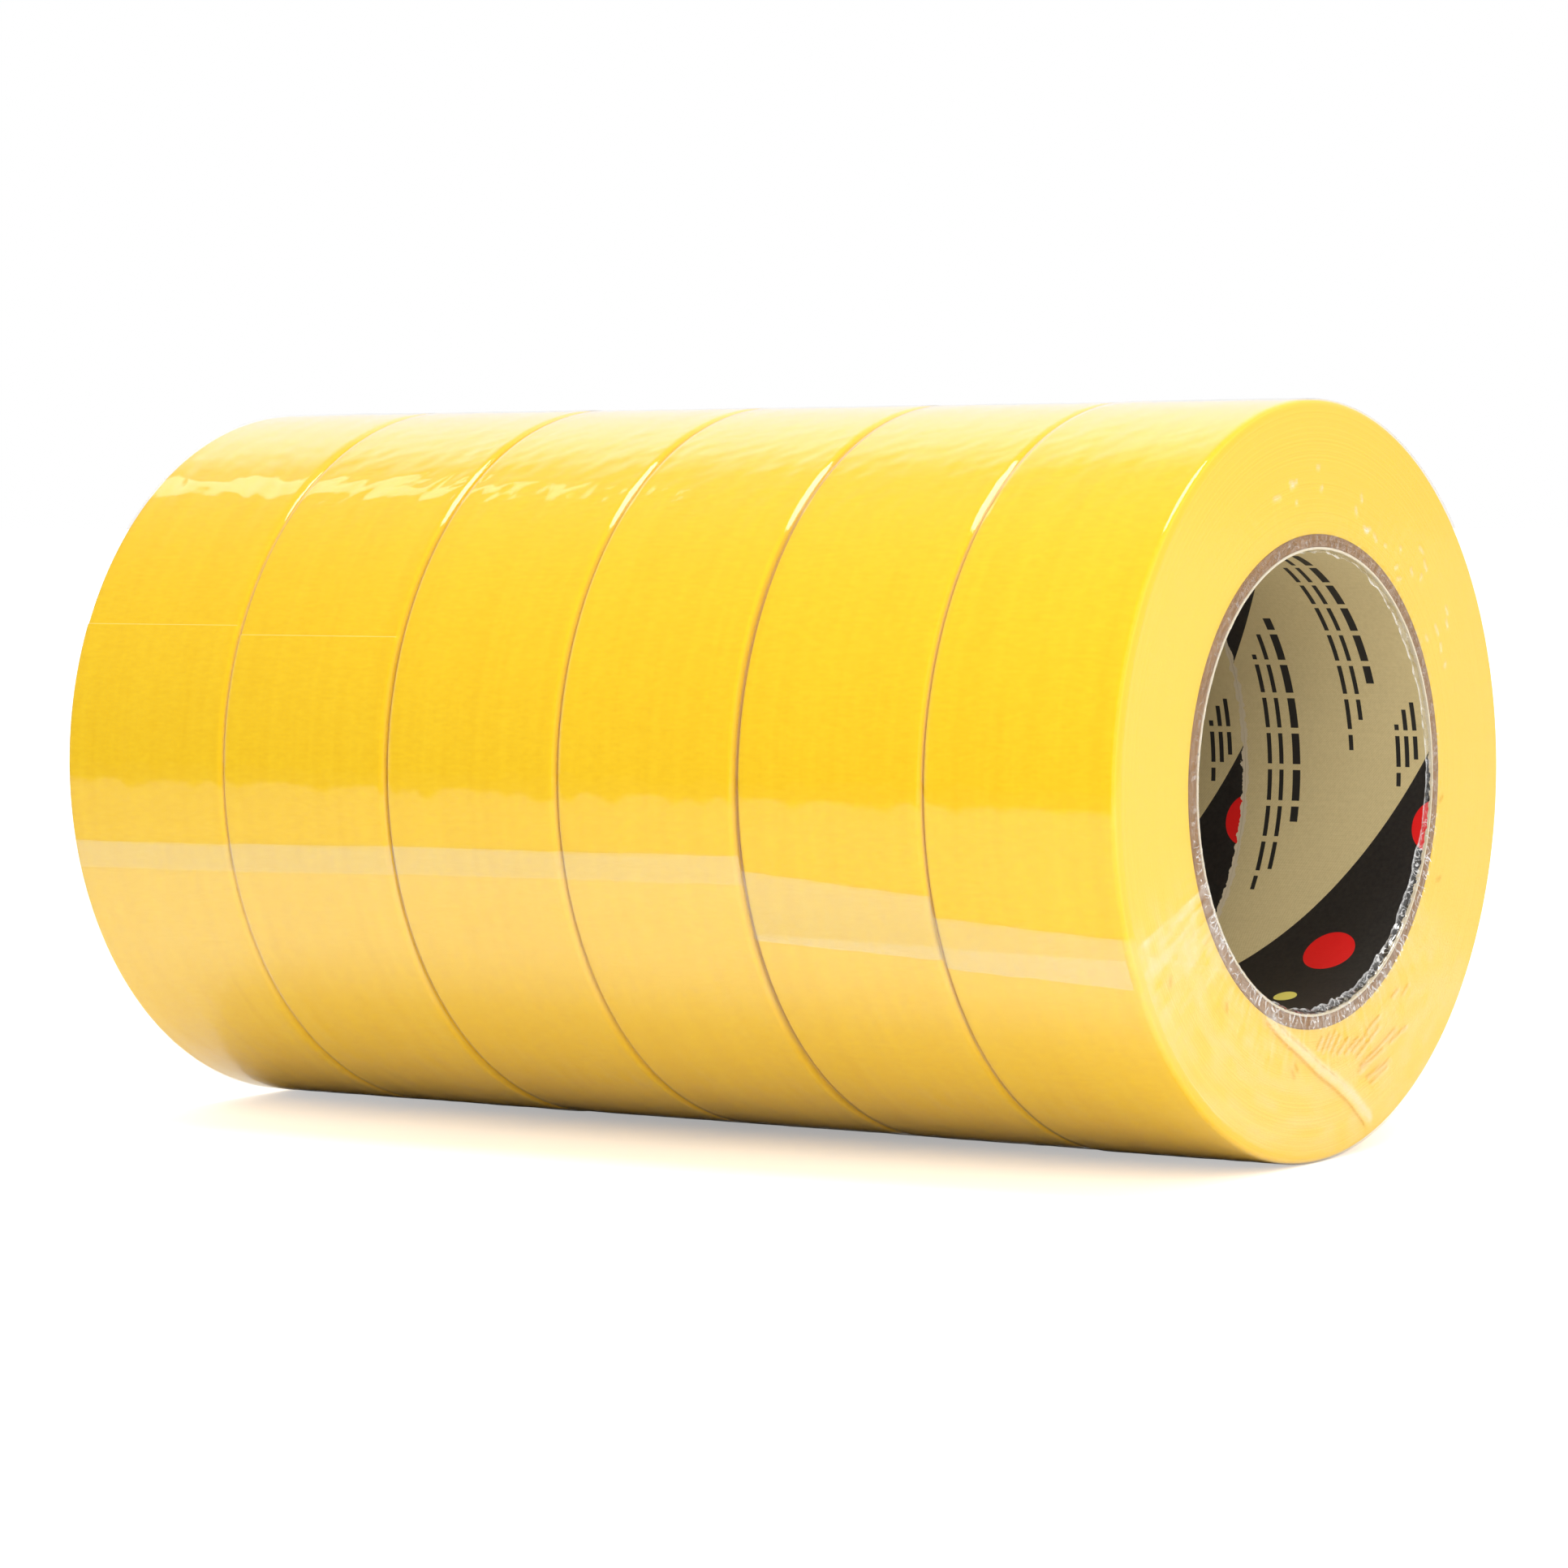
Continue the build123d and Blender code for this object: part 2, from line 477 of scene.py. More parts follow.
# Plain bars in place of lettering: mm along the roll, half its height in mm, first and last angle
BARS = [
    (10.2, 0.75, -15, 42),
    (7.2, 0.42, -28, 38),
    (4.9, 0.42, -34, 30),
    (26.4, 0.75, 22, 78),
    (23.4, 0.42, 12, 72),
    (21.1, 0.42, 4, 66),
    (33.6, 0.42, 2, 17),
    (31.9, 0.42, -1, 15),
    (30.2, 0.42, -5, 11),
]
BAR_PITCH = 9.5  # degrees from one bar in a row to the next
BAR_SHARE = 0.84  # how much of that is inked
# Plain discs in place of marks: mm along the roll, angle, radius in mm, colour
DISCS = [
    (25.0, 307, 4.6, RED),
    (38.0, 345, 4.6, RED),
    (12.0, 269, 4.6, RED),
    (24.0, 285, 2.0, GOLD),
    (25.0, 151, 4.6, RED),
    (12.0, 113, 4.6, RED),
]


def liner_material(low_end, pitch):
    """Buff paper with a fine weave, dark diagonal bands, plain bars and discs, and a ragged pale line
    at each end.
    """
    material, tree = new_material("printed_liner")
    coordinates, x, y, z = object_axes(tree)
    rolls_along = maths(tree, "DIVIDE", maths(tree, "SUBTRACT", x, low_end), pitch)
    along = times(tree, maths(tree, "FRACT", rolls_along), pitch / MM)
    angle = times(tree, maths(tree, "ARCTAN2", z, y), 180 / math.pi)
    slanted = maths(tree, "SUBTRACT", angle, times(tree, along, BAND_SLOPE))
    band_angle = times(tree, maths(tree, "FRACT", maths(tree, "DIVIDE", slanted, 360)), 360)
    bands = 0.0
    for middle in BAND_MIDDLES:
        bands = maths(tree, "MAXIMUM", bands, within(tree, band_angle, middle, BAND_HALF))
    ink = 0.0
    share = maths(tree, "FRACT", maths(tree, "DIVIDE", angle, BAR_PITCH))
    inked = maths(tree, "LESS_THAN", share, BAR_SHARE)
    for place, half_height, first, last in BARS:
        row = within(tree, along, place, half_height)
        length = within(tree, angle, (first + last) / 2, (last - first) / 2)
        ink = maths(tree, "MAXIMUM", ink, times(tree, row, length))
    ink = times(tree, ink, inked)
    place = coordinates.outputs["Object"]
    grain = noise(tree, place, 1500, 4, 0.6)
    weave = add(tree, "ShaderNodeTexMagic", {"Vector": place, "Scale": 2600, "Distortion": 1.2})
    tone = weighted(tree, (grain, 0.6), (weave.outputs["Fac"], 0.4))
    paper = ramp(tree, tone, PAPER_COLOURS)
    dark = ramp(tree, grain, DARK_BAND_COLOURS)
    colour = mixed(tree, ink, paper, BLACK)
    colour = mixed(tree, bands, colour, dark)
    for place_along, place_round, radius, paint in DISCS:
        # the share of a turn from the disc's middle, plus 0.5
        turned = plus(tree, maths(tree, "DIVIDE", angle, 360), 1.5 - place_round / 360)
        from_middle = maths(tree, "SUBTRACT", maths(tree, "FRACT", turned), 0.5)
        across = times(tree, from_middle, math.tau * BORE_RADIUS / MM)
        away = maths(tree, "SUBTRACT", along, place_along)
        inside = maths(tree, "LESS_THAN", hypotenuse(tree, across, away), radius)
        colour = mixed(tree, inside, colour, paint)
    # Each roll's liner is paler in a ragged line at its two ends
    half = pitch / MM / 2
    from_middle = maths(tree, "ABSOLUTE", maths(tree, "SUBTRACT", along, half))
    from_end = maths(tree, "SUBTRACT", half, from_middle)
    ragged = noise(tree, place, 700, 3)
    pale_end = maths(tree, "LESS_THAN", from_end, maths(tree, "MULTIPLY_ADD", ragged, 1.6, -0.25))
    colour = mixed(tree, pale_end, colour, PALE_LINER_END)
    bump = bumps(tree, 0.25, 0.00008, tone)
    shader = principled(tree, base_color=colour, roughness=0.6, normal=bump)
    finish_material(tree, shader)
    return material


def crumple_ridges(tree, x, y, z):
    """Crooked ridges about a millimetre apart, longer towards the axis than round it. 1 on a ridge."""
    round_axis = times(tree, maths(tree, "ARCTAN2", z, y), BORE_RADIUS / MM)
    towards_axis = times(tree, hypotenuse(tree, y, z), 0.4 / MM)
    along = times(tree, x, 1 / MM)
    polar = add(tree, "ShaderNodeCombineXYZ", {0: round_axis, 1: towards_axis, 2: along}).outputs[0]
    inputs = {"Vector": polar, "Scale": 0.75, "Detail": 2.0, "Distortion": 0.8}
    crumple = add(tree, "ShaderNodeTexNoise", inputs).outputs["Fac"]
    folded = maths(tree, "ABSOLUTE", maths(tree, "MULTIPLY_ADD", crumple, 2, -1))
    return maths(tree, "SUBTRACT", 1, folded)


def film_material():
    """Clear glossy film that mirrors more at a slant, and lets the light through to what is under it.

    Three attributes shape it: the haze one makes it paler, as real haze and, at pleats and specks on an
    end face, as a painted highlight; crinkle covers it with bright creases; and the fold one tints it
    darker as painted shade. Shadow and diffuse rays pass freely, so that the film doesn't dim what it
    covers.
    """
    material, tree = new_material("shrink_film")
    coordinates, x, y, z = object_axes(tree)
    place = coordinates.outputs["Object"]
    haze_and_sheen, crinkle, fold_shade = [
        add(tree, "ShaderNodeAttribute", {}, attribute_name=name).outputs["Fac"]
        for name in ("haze_and_sheen", "crinkle", "fold_shade")
    ]
    wrinkles = noise(tree, stretched(tree, place, 1, 0.35, 0.35), 900, 3, 0.55)
    ridges = crumple_ridges(tree, x, y, z)
    glints = times(tree, between(tree, ridges, 0.95, 0.985), crinkle)
    height = plus(tree, wrinkles, times(tree, ridges, times(tree, crinkle, 3)))
    bump = bumps(tree, 0.10, 0.0001, height)
    pale = plus(tree, haze_and_sheen, times(tree, glints, 0.4))
    rough = maths(tree, "MULTIPLY_ADD", haze_and_sheen, 0.5, 0.07)
    rays = add(tree, "ShaderNodeLightPath", {}).outputs
    lighting = maths(tree, "MAXIMUM", rays["Is Shadow Ray"], rays["Is Diffuse Ray"])
    seen = maths(tree, "SUBTRACT", 1, lighting)
    facing = add(tree, "ShaderNodeLayerWeight", {"Blend": 0.5}).outputs["Facing"]
    slant = maths(tree, "POWER", facing, 5)
    mirror = plus(tree, maths(tree, "MULTIPLY_ADD", slant, FILM_SLANT_MIRROR, FILM_MIRROR), pale)
    mirror = times(tree, mirror, seen)
    gloss = add(tree, "ShaderNodeBsdfGlossy", {"Color": WHITE, "Roughness": rough, "Normal": bump})
    # The fold tint darkens what shows through the film, as painted shade
    tint = mixed(tree, fold_shade, WHITE, FOLD_SHADE_TINT)
    clear = add(tree, "ShaderNodeBsdfTransparent", {"Color": tint})
    film = add(tree, "ShaderNodeMixShader", {0: mirror, 1: clear.outputs[0], 2: gloss.outputs[0]})
    milk = add(tree, "ShaderNodeBsdfDiffuse", {"Color": MILK_COLOUR, "Normal": bump})
    mottle = maths(tree, "MULTIPLY_ADD", wrinkles, 1.2, 0.1)
    cloudy = times(tree, times(tree, pale, seen), mottle)
    whole = add(tree, "ShaderNodeMixShader", {0: cloudy, 1: film.outputs[0], 2: milk.outputs[0]})
    finish_material(tree, whole.outputs[0])
    return material


def floor_material():
    """Near-white paper. To the camera it glows, more away from the pack, and so fades to white.

    In the sides the camera sees, the film mirrors it as dim beyond FLOOR_FRONT.
    """
    material, tree = new_material("pale_floor")
    coordinates, x, y, _ = object_axes(tree)
    place = coordinates.outputs["Object"]
    colour = ramp(tree, noise(tree, place, 3, 2), FLOOR_COLOURS)
    rays = add(tree, "ShaderNodeLightPath", {}).outputs
    past = between(tree, y, -FLOOR_FRONT, -FLOOR_FRONT * 1.3, interpolation_type="SMOOTHSTEP")
    beside = between(tree, x, 0.4, 0.0)
    gone = times(tree, times(tree, past, beside), rays["Is Glossy Ray"])
    colour = mixed(tree, gone, colour, DIM_FLOOR)
    away = add(tree, "ShaderNodeVectorMath", {0: place}, operation="LENGTH").outputs["Value"]
    glow = times(tree, between(tree, away, *GLOW_REACH, *GLOW_STRENGTH), rays["Is Camera Ray"])
    shader = principled(
        tree, base_color=colour, roughness=0.7, emission_color=WHITE, emission_strength=glow
    )
    finish_material(tree, shader)
    return material


# ---------------------------------------------------------------- rolls

def middle_of(node):
    low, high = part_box(node)
    return (low.x + high.x) / 2


def half_length(node):
    low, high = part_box(node)
    return (high.x - low.x) / 2


def outer_radius(node):
    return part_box(node)[1].z


def arc_steps(count):
    """Cosine and sine from 0 to a quarter turn, without the end points."""
    turn = np.linspace(0, math.pi / 2, count + 2)[1:-1]
    return np.cos(turn), np.sin(turn)


def tape_solid(number):
    """A wound roll: a spiral with a step at the loose end, and ends that show the turns."""
    half = half_length(f"tape_{number}")
    outside = outer_radius(f"tape_{number}")
    inside = outer_radius(f"core_{number}") + TAPE_GAP
    cosine, sine = arc_steps(5)
    flat = half - RIM_RADIUS
    rim_x = flat + RIM_RADIUS * sine
    rim_r = outside - RIM_RADIUS + RIM_RADIUS * cosine
    side_x = np.linspace(-flat, flat, TAPE_SIDE_ROWS)
    face_x = np.full(TAPE_FACE_ROWS, half)
    face_r = np.linspace(outside - RIM_RADIUS, inside, TAPE_FACE_ROWS)
    back_r = face_r[::-1]
    xs = np.concatenate([side_x, rim_x, face_x, [0.0], -face_x, -rim_x[::-1]])
    side_r = np.full(TAPE_SIDE_ROWS, outside)
    rs = np.concatenate([side_r, rim_r, face_r, [inside], back_r, rim_r[::-1]])
    angle = np.linspace(0, math.tau - END_STEP_WIDTH / outside, TAPE_COLUMNS)
    turn = angle / math.tau
    # The spiral dies away 2 mm down the end faces, and the ripples are on the outside only
    depth = smooth((rs - (outside - 2 * MM)) / (1.5 * MM))[:, None]
    on_side = smooth((rs - (outside - 0.2 * MM)) / (0.15 * MM))[:, None]
    along = ((xs + half) / (2 * half))[:, None]
    ripple = TAPE_RIPPLE * on_side * (waves(along, turn, 5, 240) + waves(along, turn, 2, 60))
    radius = rs[:, None] - TAPE_STEP * depth * turn - ripple - TAPE_RIPPLE * on_side
    relief_at = np.linspace(0, 1, TAPE_FACE_ROWS)
    relief = np.interp(rs, back_r, rng.uniform(-1, 1, TAPE_FACE_ROWS)) * WINDING_RELIEF
    dish = np.interp(rs, back_r, np.sin(relief_at * 9) * 0.5 - 0.5) * WINDING_RELIEF
    on_face = (np.abs(xs) > half - 0.01 * MM).astype(float)
    x = xs + np.sign(xs) * on_face * (relief + dish)
    centre = middle_of(f"core_{number}") + TAPE_SHIFTS[number - 1] * MM
    start = math.radians(LOOSE_END_ANGLES[number - 1])
    return closed_ring(around((centre + x)[:, None], radius, angle + start))


def board_solid(number):
    """The core: a tube with softened, slightly uneven edges."""
    columns, side_rows, face_rows = 360, 8, 12
    half = half_length(f"core_{number}")
    outside = outer_radius(f"core_{number}")
    inside = outer_radius(f"core_liner_{number}") + BOARD_GAP
    side_x = np.linspace(-half + BOARD_SOFTNESS, half - BOARD_SOFTNESS, side_rows)
    face_x = np.full(face_rows, half)
    face_r = np.linspace(outside - BOARD_SOFTNESS, inside + BOARD_SOFTNESS, face_rows)
    xs = np.concatenate([side_x, face_x, side_x[::-1], -face_x])
    rs = np.concatenate([np.full(side_rows, outside), face_r, np.full(side_rows, inside), face_r[::-1]])
    turn = np.linspace(0, 1, columns, endpoint=False)
    on_face = (np.abs(xs) >= half - 0.001 * MM)[:, None]
    ply = np.interp(rs, face_r[::-1], rng.uniform(-1, 1, face_rows))[:, None]
    fray = BOARD_FRAY * on_face * (ply + waves((rs / outside)[:, None], turn, 9, 150) - 2)
    x = middle_of(f"core_{number}") + xs[:, None] + np.sign(xs)[:, None] * fray
    return closed_ring(around(x, rs[:, None], turn * math.tau))


def liner_solid(number):
    """The paper inside the core, wound as a spiral strip whose butt joint shows as a fine groove."""
    columns, rows = 480, 44
    half = half_length(f"core_liner_{number}")
    outside = outer_radius(f"core_liner_{number}")
    side_x = np.linspace(-half, half, rows)
    xs = np.concatenate([side_x, side_x[::-1]])
    rs = np.concatenate([np.full(rows, outside), np.full(rows, BORE_RADIUS)])
    turn = np.linspace(0, 1, columns, endpoint=False)
    inner = (rs < outside - 0.1 * MM)[:, None]
    seam = (turn * 360 - BAND_SLOPE * (xs[:, None] + half) / MM - SEAM_START) % 360
    away = np.abs((seam + 180) % 360 - 180)
    groove = SEAM_DEPTH * np.clip(1 - away / SEAM_HALF, 0, 1)
    cockle = LINER_COCKLE * (waves(((xs + half) / (2 * half))[:, None], turn, 6, 90) + 1)
    radius = rs[:, None] + inner * (groove + cockle)
    return closed_ring(around(middle_of(f"core_liner_{number}") + xs[:, None], radius, turn * math.tau))


# ---------------------------------------------------------------- film

def groove_dip(x, half):
    """How far the film sinks towards the grooves at -half and half."""
    return GROOVE_DEPTH * smooth((np.abs(x) - (half - GROOVE_REACH)) / GROOVE_REACH) ** 1.3


def sector(angle, first, last, soft):
    """1 between two angles, falling to 0 over soft degrees outside them."""
    middle = (first + last) / 2
    away = np.abs((angle - middle + 180) % 360 - 180)
    return 1 - smooth((away - (last - first) / 2) / soft)


def side_ripple(x, turn, half):
    """Ripples drawn out round the pack, finer along it. They die away at the grooves.

    Slanting flutes roughen the film high on the camera side, and swells where the film stands upright.
    """
    along = ((x + half) / (2 * half))[:, None]
    fine = waves(along, turn, 14, 46) + 0.5 * waves(along, turn, 26, 110)
    broad = waves(along, turn, 4, 12)
    calm = 1 - smooth((np.abs(x) - (half - 2 * MM)) / (2 * MM))[:, None]
    lean = (along + 6.6 * (turn - 0.336) + 0.17) / 1.34
    flutes = sector(turn * 360, *FLUTED) * waves(lean, turn, 22, 160)
    swells = sector(turn * 360, *SWOLLEN) * waves(along, turn, 12, 90)
    return FILM_RIPPLE * calm * (fine + broad + 1.5 * flutes + 1.2 * swells)


def film_radius(number):
    return outer_radius(f"tape_{number}") + FILM_STAND_OFF


def film_band(number, pitch):
    """The film round a roll in the middle of the pack."""
    half = pitch / 2 - FILM_PARTING
    even = np.linspace(-half, half, FILM_ROWS)
    crowded = np.sin(np.linspace(-1, 1, FILM_ROWS) * math.pi / 2) * half
    x = 0.4 * even + 0.6 * crowded  # rows lie closer together at the grooves
    turn = np.linspace(0, 1, FILM_COLUMNS, endpoint=False)
    radius = film_radius(number) - groove_dip(x, half)[:, None] + side_ripple(x, turn, half)
    centre = middle_of(f"core_{number}")
    outer = around(centre + x[:, None], radius, turn * math.tau)
    inner = around(centre + x[:, None], radius - FILM_THICKNESS, turn * math.tau)
    haze_and_sheen = SIDE_HAZE * lap_zone(turn * 360, x[:, None], number)
    return thin_sheet(outer, inner, True), {"haze_and_sheen": haze_and_sheen}


def distance_to_path(y, z, path):
    """Least distance from each point to a line of (radius in mm, angle) points."""
    corners = [around(0, r * MM, math.radians(a))[1:] for r, a in path]
    least = np.full(y.shape, 1.0)
    for start, end in zip(corners[:-1], corners[1:]):
        step = end - start
        share = ((y - start[0]) * step[0] + (z - start[1]) * step[1]) / (step @ step)
        share = np.clip(share, 0, 1)
        gap = np.hypot(y - start[0] - share * step[0], z - start[1] - share * step[1])
        least = np.minimum(least, gap)
    return least


# Folds in the film over an end face, as (radius in mm, angle) points
LAP_FOLD = [(62.0, 201.3), (50.0, 201.7), (40.0, 201.6)]
SECOND_FOLD = [(62.0, 202.6), (56.9, 205.6), (50.4, 211.0), (44.6, 218.2), (40.0, 225.0)]
CURVED_FOLD = [
    (40.8, 246),
    (42.4, 254),
    (44.2, 262),
    (47.0, 269),
    (50.0, 275.5),
    (53.5, 280.5),
    (59.0, 285),
]
# Each fold's points, its height in mm and half its width in mm
FOLDS = [(LAP_FOLD, 0.07, 0.35), (SECOND_FOLD, 0.06, 0.4), (CURVED_FOLD, 0.16, 0.9)]
# Short pleats gathered beside the curved fold, each from one end to the other. They are only painted: a
# line of painted shade, with a line of painted highlight beside it
PLEATS = [
    ((41.9, 269.7), (43.6, 267.4)),
    ((41.7, 272.9), (44.3, 269.6)),
    ((41.5, 275.8), (44.1, 271.8)),
    ((42.5, 277.5), (45.0, 273.5)),
    ((43.6, 281.0), (45.4, 276.1)),
    ((44.7, 285.2), (46.0, 279.0)),
    ((45.3, 288.7), (46.3, 282.0)),
    ((46.1, 294.0), (47.8, 283.3)),
    ((49.4, 299.6), (49.6, 284.4)),
    ((50.2, 293.6), (50.3, 283.4)),
    ((52.9, 294.8), (52.3, 286.0)),
    ((53.5, 293.6), (53.5, 287.1)),
    ((51.3, 303.0), (50.4, 296.2)),
    ((44.5, 295.0), (44.8, 289.0)),
    ((44.3, 304.7), (44.1, 301.5)),
    ((46.1, 308.6), (46.1, 305.3)),
]
# Small dark marks, painted shade as of dents; they are not sunk into the mesh
DENTS = [(47.8, 258), (45.3, 228), (54.9, 210.5), (41, 352), (43.8, 334), (46.6, 259)]


def lap_zone(angle, x, number):
    """1 where the film is a little cloudy, from its lap's upper edge down to the pack's underside."""
    share = (x / half_length(f"core_{number}") + 1) / 2
    upper_low, upper_high = LAP_EDGES[number - 1][0]
    upper = upper_low + (upper_high - upper_low) * share
    return smooth((angle - upper) / 0.4) * (1 - smooth((angle - HAZE_END) / HAZE_FADE))


def end_side(number, pitch):
    """The film round an end roll, as far as the rim of its end face."""
    half = pitch / 2 - FILM_PARTING
    outside = film_radius(number)
    corner_x = half_length(f"core_{number}") + FACE_STAND_OFF - FILM_CORNER
    corner_r = outside - FILM_CORNER
    cosine, sine = arc_steps(6)
    side_x = np.linspace(-half, corner_x, FILM_END_ROWS)
    side_r = outside - groove_dip(np.minimum(side_x, 0), half)
    xs = np.concatenate([side_x, corner_x + FILM_CORNER * sine, [corner_x + FILM_CORNER]])
    rs = np.concatenate([side_r, corner_r + FILM_CORNER * cosine, [corner_r]])
    turn = np.linspace(0, 1, FILM_COLUMNS, endpoint=False)
    normals = normals_of(np.stack([xs, rs], axis=-1))
    before_corner = smooth((corner_x - side_x) / (3 * MM))[:, None]
    height = np.zeros((len(xs), FILM_COLUMNS))
    height[:FILM_END_ROWS] += side_ripple(side_x, turn, half) * before_corner
    x = xs[:, None] + normals[:, :1] * height
    r = rs[:, None] + normals[:, 1:] * height
    haze_and_sheen = SIDE_HAZE * lap_zone(turn * 360, facing_of(number) * xs[:, None], number)
    return placed_sheet(number, x, r, normals, turn, {"haze_and_sheen": haze_and_sheen})


def facing_of(number):
    """1 for the roll whose end face looks along +X, -1 for the one whose end face looks along -X."""
    return 1 if number == ROLLS else -1


def placed_sheet(number, x, r, normals, turn, values):
    """A closed film sheet from its outer face, and its values.

    The first roll's is the last roll's mirror image.
    """
    centre = middle_of(f"core_{number}")
    sign = facing_of(number)
    angle = turn * math.tau
    inner_x = x - normals[:, :1] * FILM_THICKNESS
    inner_r = r - normals[:, 1:] * FILM_THICKNESS
    outer = around(centre + sign * x, r, angle)
    inner = around(centre + sign * inner_x, inner_r, angle)
    if sign < 0:
        # counted the other way round, so that the mirrored faces still look outwards
        values = {name: grid[:, ::-1] for name, grid in values.items()}
        outer, inner = outer[:, ::-1], inner[:, ::-1]
    return thin_sheet(outer, inner, True), values


def end_profile(number):
    """The (x, r) points of the film over an end face, round the corner and along the lip."""
    outside = film_radius(number)
    face_x = half_length(f"core_{number}") + FACE_STAND_OFF
    lip_r = BORE_RADIUS - LIP_GAP
    cosine, sine = arc_steps(3)
    gather = np.linspace(0, 1, FACE_ROWS) ** 0.75
    face_r = (outside - FILM_CORNER) + (lip_r + LIP_CORNER - outside + FILM_CORNER) * gather
    corner_x = face_x - LIP_CORNER + LIP_CORNER * cosine
    corner_r = lip_r + LIP_CORNER - LIP_CORNER * sine
    xs = np.concatenate([np.full(FACE_ROWS, face_x), corner_x, np.full(LIP_ROWS, face_x - LIP_CORNER)])
    rs = np.concatenate([face_r, corner_r, np.full(LIP_ROWS, lip_r)])
    return xs, rs


def add_fold_marks(y, z, is_face, height, haze_and_sheen, fold_shade):
    """Adds the folds, pleats, dents and specks of an end face to its height, haze and fold tint. The
    fold tint is painted shade beside the curved fold, along the pleats and at the dents, and the haze
    takes a painted highlight beside each pleat and on each speck.
    """
    for path, rise, width in FOLDS:
        ridge = smooth(1 - distance_to_path(y, z, path) / (width * MM))
        height = height + is_face * rise * MM * ridge
        haze_and_sheen = haze_and_sheen + 0.02 * ridge
    strip = distance_to_path(y, z, CURVED_FOLD)
    haze_and_sheen = haze_and_sheen + 0.07 * smooth(1.6 - strip / (1.0 * MM))
    shaded_side = distance_to_path(y, z, [(r + 0.9, a - 1.6) for r, a in CURVED_FOLD])
    fold_shade = fold_shade + 0.9 * smooth(1 - shaded_side / (0.4 * MM))
    for start, end in PLEATS:
        # A pleat is painted shade along it, and a painted highlight just beside it
        gap = distance_to_path(y, z, [start, end])
        fold_shade = fold_shade + 0.7 * smooth(1 - gap / (0.4 * MM))
        gap = distance_to_path(y, z, [(start[0] + 0.5, start[1] + 0.7), (end[0] + 0.5, end[1] + 0.7)])
        haze_and_sheen = haze_and_sheen + 0.05 * smooth(1 - gap / (0.5 * MM))
    for dent in DENTS:
        # Each dent is only painted shade
        gap = distance_to_path(y, z, [dent, (dent[0] + 0.8, dent[1] + 1)])
        fold_shade = fold_shade + 0.5 * smooth(1 - gap / (0.7 * MM))
    for speck_r, speck_angle in zip(rng.uniform(42.5, 52, SPECKS), rng.uniform(22, 118, SPECKS)):
        tip = (speck_r + rng.uniform(-0.9, 0.9), speck_angle + rng.uniform(-2.2, 2.2))
        gap = distance_to_path(y, z, [(speck_r, speck_angle), tip])
        # A speck is a small real bump, and is also painted paler as a painted highlight
        height = height + is_face * 0.04 * MM * smooth(1 - gap / (0.6 * MM))
        haze_and_sheen = haze_and_sheen + 0.08 * smooth(1.2 - gap / (0.5 * MM))
    return height, haze_and_sheen, fold_shade


def end_face(number):
    """The film over an end face. It gathers in pleats towards the bore and ends in a ragged lip."""
    outside = film_radius(number)
    xs, rs = end_profile(number)
    on_lip = np.concatenate([np.zeros(len(xs) - LIP_ROWS), np.linspace(0, 1, LIP_ROWS)])[:, None]
    is_face = (on_lip == 0).astype(float)
    normals = normals_of(np.stack([xs, rs], axis=-1))
    normals[-LIP_ROWS:] = (0, -1)
    turn = np.linspace(0, 1, FACE_COLUMNS, endpoint=False)
    angle = turn * 360

    # Heights are worked out against the flat form
    flat = around(0, rs[:, None], turn * math.tau)
    y, z = flat[..., 1], flat[..., 2]
    inward = np.clip((outside - rs) / (outside - BORE_RADIUS), 0, 1)[:, None]
    gathered = sector(angle, *GATHERED)
    lapped = sector(angle, *LAPPED) * (1 - smooth((angle - 204) / 26))
    pleats = creases(inward, turn, 2, 170) + 0.6 * creases(inward, turn, 6, 260)
    reach = smooth((inward - 0.42) / 0.3)
    over_ring = smooth((inward - 0.885) / 0.03)
    crumpled = creases(inward, turn, 60, 240) + waves(inward, turn, 60, 330)
    height = is_face * MM * (reach * pleats * 0.05 * (0.1 + gathered) + over_ring * crumpled * 0.06)
    streaks = 0.6 + 0.6 * waves(inward, turn, 14, 90)
    patch = 0.55 + 0.6 * waves(inward, turn, 5, 330) + 0.45 * waves(inward, turn, 12, 60)
    haze_and_sheen = np.maximum(0.026 * gathered * streaks + 0.058 * lapped * patch, 0)
    height, haze_and_sheen, fold_shade = add_fold_marks(y, z, is_face, height, haze_and_sheen, np.zeros(height.shape))
    height = np.maximum(height * smooth(inward / 0.06), -0.06 * MM)
    x = xs[:, None] + normals[:, :1] * height
    r = rs[:, None] + normals[:, 1:] * height

    # The lip reaches further in, and is more ragged, in the lower part
    once = np.array([[0.5]])
    loose = 0.3 + 0.7 * sector(angle, *LOOSE_LIP)
    scallops = 0.5 + 0.5 * waves(once, turn, 1, 44) + 0.3 * creases(once, turn, 1, 130)
    x = x - on_lip * MM * (0.6 + 0.5 * loose + 0.3 * waves(once, turn, 1, 90))
    r = r - on_lip ** 1.3 * MM * (0.18 + 0.75 * loose * np.clip(scallops, 0, 1.2))
    r = r - on_lip * MM * (0.16 * waves(on_lip, turn, 3, 260) + 0.3 * waves(once, turn, 1, 170))
    crinkle = np.clip(over_ring * (0.18 + 0.82 * sector(angle, *CRINKLED)), 0, 1)
    edge = smooth((on_lip - 0.72) / 0.2)
    haze_and_sheen = haze_and_sheen * is_face + 0.03 * on_lip + 0.16 * edge
    values = {"haze_and_sheen": haze_and_sheen, "crinkle": crinkle, "fold_shade": np.clip(fold_shade, 0, 1) * is_face}
    return placed_sheet(number, x, r, normals, turn, values)


